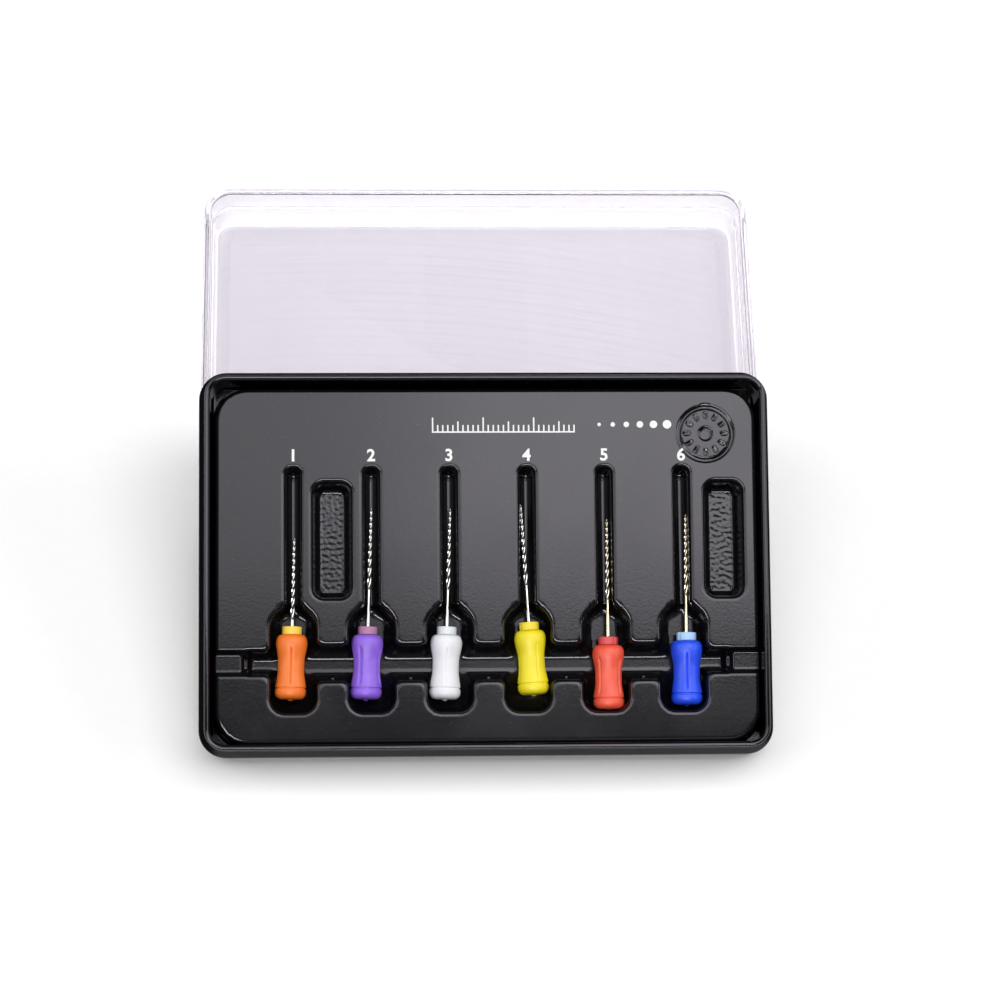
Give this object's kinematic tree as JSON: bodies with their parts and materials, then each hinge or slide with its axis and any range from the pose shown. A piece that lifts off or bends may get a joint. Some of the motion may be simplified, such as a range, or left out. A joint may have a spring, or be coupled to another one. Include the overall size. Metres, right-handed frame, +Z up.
{
  "type": "endodontic file set",
  "caption": "Leaning black tray with a formed insert of slots holding coloured dental hand files with sliding stops, and its clear lid lying open side up under the tray's back.",
  "frame": {"origin": "middle of the footprint of the tray and its lid, on the surface they stand on", "axes": "+X to the right along the tray, +Y away from the user from the tray's low edge to the lid, +Z up"},
  "size_m": [0.1138, 0.1236, 0.0345],
  "materials": {
    "base_plastic": "gloss moulded",
    "insert_plastic": "satin formed sheet",
    "clear_plastic": "clear moulded plastic with a faint lavender tint",
    "white_ink": "screen print",
    "core_steel": "turned steel",
    "blade_metal": "ground nickel titanium",
    "gold_blade": "ground wire with a straw tint",
    "orange_handle_rubber": "satin moulded silicone",
    "orange_stop_rubber": "satin silicone",
    "purple_handle_rubber": "satin moulded silicone",
    "purple_stop_rubber": "satin silicone",
    "white_handle_rubber": "satin moulded silicone",
    "white_stop_rubber": "satin silicone",
    "yellow_handle_rubber": "satin moulded silicone",
    "yellow_stop_rubber": "satin silicone",
    "red_handle_rubber": "satin moulded silicone",
    "red_stop_rubber": "satin silicone",
    "blue_handle_rubber": "satin moulded silicone",
    "blue_stop_rubber": "satin silicone"
  },
  "bodies": {
    "tray": {"base": "base_plastic", "insert": "insert_plastic", "printed_numerals": "white_ink", "printed_scale": "white_ink", "printed_dots": "white_ink"},
    "lid": {"lid": "clear_plastic"},
    "orange_file": {"orange_handle": "orange_handle_rubber", "orange_core": "core_steel", "orange_blade": "blade_metal"},
    "orange_stop": {"orange_stop": "orange_stop_rubber"},
    "purple_file": {"purple_handle": "purple_handle_rubber", "purple_core": "core_steel", "purple_blade": "blade_metal"},
    "purple_stop": {"purple_stop": "purple_stop_rubber"},
    "white_file": {"white_handle": "white_handle_rubber", "white_core": "core_steel", "white_blade": "blade_metal"},
    "white_stop": {"white_stop": "white_stop_rubber"},
    "yellow_file": {"yellow_handle": "yellow_handle_rubber", "yellow_core": "core_steel", "yellow_blade": "blade_metal"},
    "yellow_stop": {"yellow_stop": "yellow_stop_rubber"},
    "red_file": {"red_handle": "red_handle_rubber", "red_core": "core_steel", "red_blade": "gold_blade"},
    "red_stop": {"red_stop": "red_stop_rubber"},
    "blue_file": {"blue_handle": "blue_handle_rubber", "blue_core": "core_steel", "blue_blade": "gold_blade"},
    "blue_stop": {"blue_stop": "blue_stop_rubber"}
  },
  "joints": [
    {"name": "lid_pull", "type": "slide", "parent": "tray", "child": "lid", "axis": [0, 1, 0], "range_m": [0, 0.045]},
    {"name": "orange_file_lift", "type": "slide", "parent": "tray", "child": "orange_file", "axis": [0, -0.2957, 0.9553], "range_m": [0, 0.03]},
    {"name": "orange_stop_slide", "type": "slide", "parent": "orange_file", "child": "orange_stop", "axis": [0.0279, 0.9549, 0.2956], "range_m": [0, 0.0023]},
    {"name": "purple_file_lift", "type": "slide", "parent": "tray", "child": "purple_file", "axis": [0, -0.2957, 0.9553], "range_m": [0, 0.03]},
    {"name": "purple_stop_slide", "type": "slide", "parent": "purple_file", "child": "purple_stop", "axis": [0.0332, 0.9548, 0.2955], "range_m": [0, 0.0024]},
    {"name": "white_file_lift", "type": "slide", "parent": "tray", "child": "white_file", "axis": [0, -0.2957, 0.9553], "range_m": [0, 0.03]},
    {"name": "white_stop_slide", "type": "slide", "parent": "white_file", "child": "white_stop", "axis": [0.0366, 0.9546, 0.2955], "range_m": [0, 0.0025]},
    {"name": "yellow_file_lift", "type": "slide", "parent": "tray", "child": "yellow_file", "axis": [0, -0.2957, 0.9553], "range_m": [0, 0.03]},
    {"name": "yellow_stop_slide", "type": "slide", "parent": "yellow_file", "child": "yellow_stop", "axis": [-0.0593, 0.9536, 0.2952], "range_m": [0, 0.0017]},
    {"name": "red_file_lift", "type": "slide", "parent": "tray", "child": "red_file", "axis": [0, -0.2957, 0.9553], "range_m": [0, 0.03]},
    {"name": "red_stop_slide", "type": "slide", "parent": "red_file", "child": "red_stop", "axis": [0.0017, 0.9553, 0.2957], "range_m": [0, 0.0047]},
    {"name": "blue_file_lift", "type": "slide", "parent": "tray", "child": "blue_file", "axis": [0, -0.2957, 0.9553], "range_m": [0, 0.03]},
    {"name": "blue_stop_slide", "type": "slide", "parent": "blue_file", "child": "blue_stop", "axis": [0.007, 0.9553, 0.2957], "range_m": [0, 0.0039]}
  ]
}
